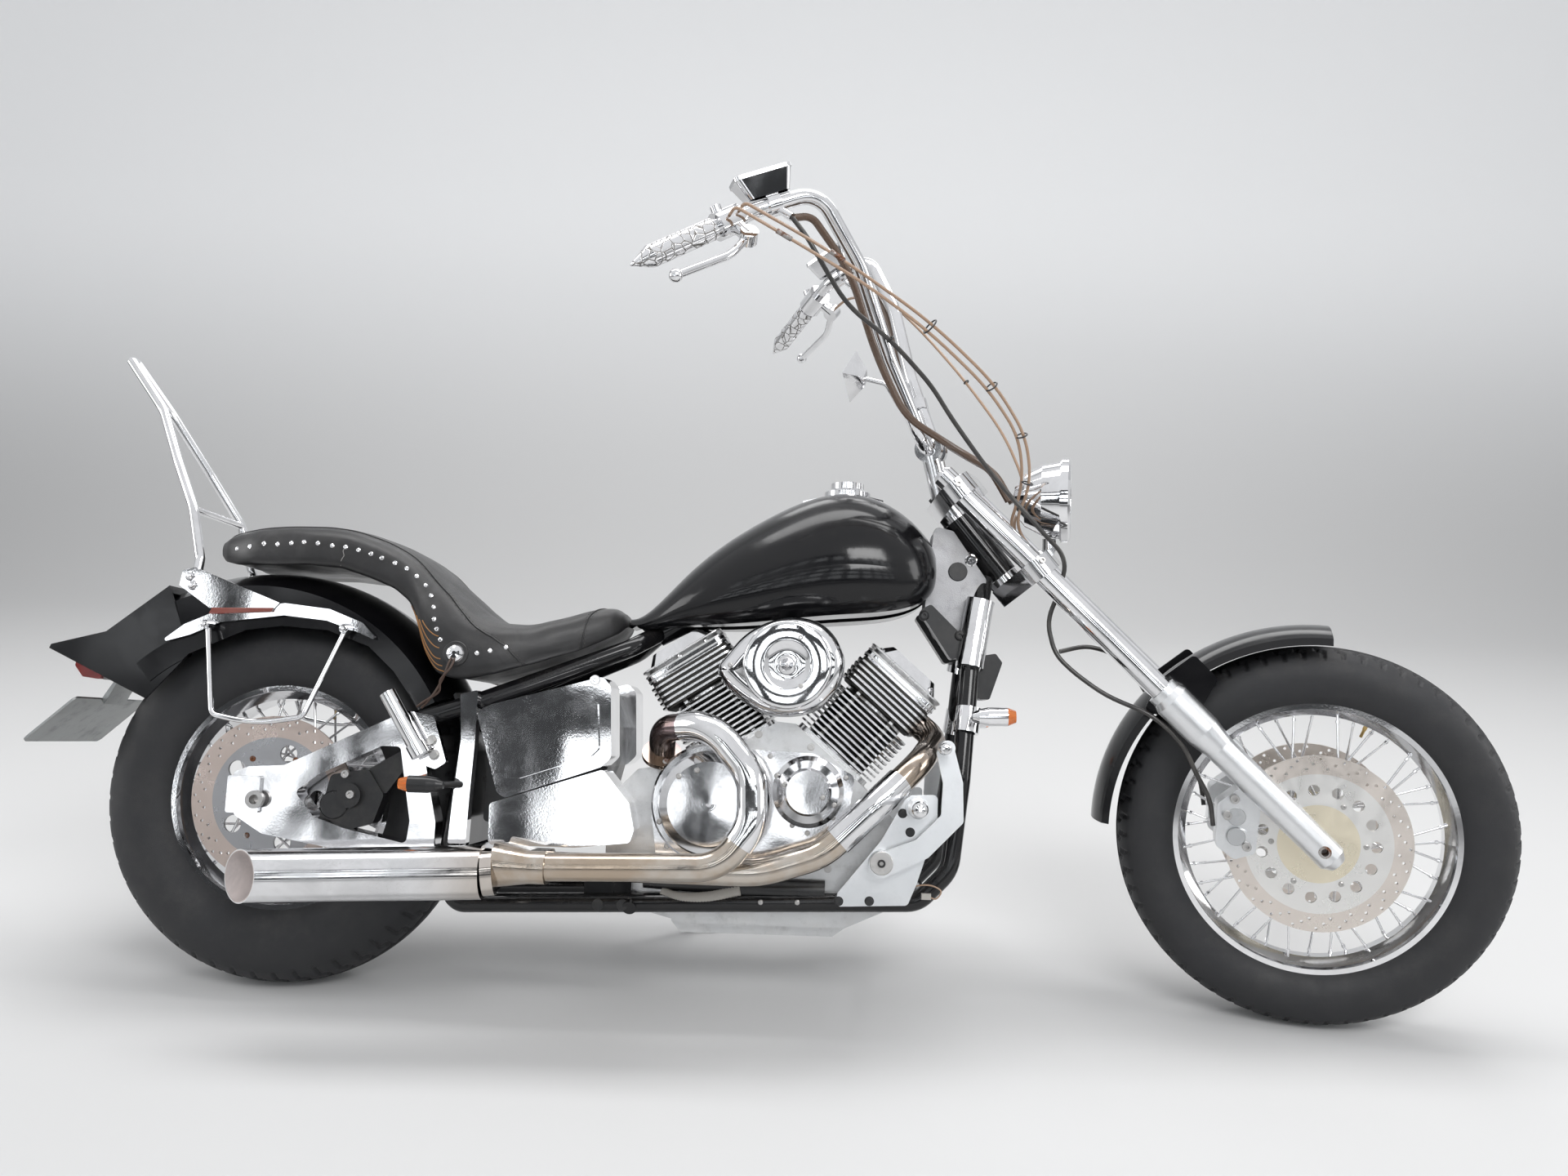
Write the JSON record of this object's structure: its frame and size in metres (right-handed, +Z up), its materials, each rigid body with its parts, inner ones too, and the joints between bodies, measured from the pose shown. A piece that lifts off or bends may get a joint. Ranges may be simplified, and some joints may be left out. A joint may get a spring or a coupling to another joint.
{
  "type": "cruiser motorcycle",
  "caption": "Long-fork cruiser motorcycle with an open V-twin engine, high handlebars, wire wheels and a sissy bar, leaning on its side stand.",
  "frame": {"origin": "under the middle of the leaning machine's box, on the floor", "axes": "+X forward, +Y to the rider's left, +Z up"},
  "size_m": [2.5692, 1.0572, 1.4352],
  "materials": {
    "black_paint": "gloss black",
    "frame_black": "satin black",
    "chrome": "polished chrome with light pitting",
    "polished_alloy": "polished alloy, slightly oxidised",
    "satin_alloy": "satin alloy",
    "cast_alloy": "cast grey alloy",
    "steel": "brushed steel",
    "exhaust_steel": "polished steel, heat-tinted near the head",
    "tyre_rubber": "worn matt rubber",
    "seat_leather": "black leather with chrome studs",
    "black_plastic": "matt black",
    "lens_orange": "orange lens",
    "lens_red": "red lens",
    "clear_glass": "clear glass",
    "mirror_glass": "mirror",
    "cable_braid": "clear-sheathed brown braid",
    "grey_paint": "blank grey plate"
  },
  "bodies": {
    "frame": {"air_cleaner": "chrome", "battery_box": "black_plastic", "breather_canister": "black_plastic", "carburettors": "cast_alloy", "coil_cover": "black_plastic", "crankcase": "polished_alloy", "cylinder_front": "polished_alloy", "cylinder_rear": "polished_alloy", "engine_covers": "chrome", "exhaust_headers": "exhaust_steel", "fender_trims": "chrome", "final_drive": "polished_alloy", "foot_levers": "satin_alloy", "forward_controls": "satin_alloy", "frame_tubes": "frame_black", "fuel_cap": "chrome", "fuel_tank": "black_paint", "heat_shields": "chrome", "lower_cover": "chrome", "luggage_guards": "chrome", "muffler": "chrome", "neck_cover": "cast_alloy", "passenger_pegs": "chrome", "plate_bracket": "grey_paint", "rear_axle": "steel", "rear_caliper": "black_paint", "rear_fender": "black_paint", "rocker_covers": "chrome", "seat": "seat_leather", "side_covers": "chrome", "signal_lenses": "lens_orange", "signals": "chrome", "sissy_bar": "chrome", "swingarm": "polished_alloy", "tail_lamp": "lens_red", "tank_console": "chrome", "tube_covers": "chrome"},
    "front_wheel": {"front_tyre": "tyre_rubber", "front_rim": "chrome", "front_discs": "steel"},
    "rear_wheel": {"rear_tyre": "tyre_rubber", "rear_rim": "chrome", "rear_disc": "steel"},
    "steering": {"fork_tubes": "chrome", "fork_sliders": "satin_alloy", "front_axle": "steel", "triple_clamps": "chrome", "handlebar": "chrome", "grips": "chrome", "controls": "chrome", "mirror_housing": "chrome", "mirror_glass": "mirror_glass", "headlight_shell": "chrome", "headlight_lens": "clear_glass", "front_fender": "black_paint", "front_calipers": "satin_alloy", "control_cables": "cable_braid", "brake_hoses": "cable_braid", "wiring_loom": "cable_braid"},
    "side_stand": {"side_stand": "frame_black"}
  },
  "joints": [
    {"name": "steering", "type": "hinge", "parent": "frame", "child": "steering", "pos_m": [0.39088, -0.079, 0.78014], "axis": [-0.6292, 0.2142, 0.7471], "range_deg": [-22, 50]},
    {"name": "front_wheel_spin", "type": "hinge", "parent": "steering", "child": "front_wheel", "pos_m": [0.96178, -0.2456, 0.32558], "axis": [0.188, 0.9747, -0.1211], "continuous": true},
    {"name": "rear_wheel_spin", "type": "hinge", "parent": "frame", "child": "rear_wheel", "pos_m": [-0.84189, -0.21133, 0.31882], "axis": [0, 0.9613, -0.2756], "continuous": true},
    {"name": "side_stand_fold", "type": "hinge", "parent": "frame", "child": "side_stand", "pos_m": [-0.24192, -0.08309, 0.12019], "axis": [0.1471, 0.7015, 0.6973], "range_deg": [0, 110]}
  ]
}
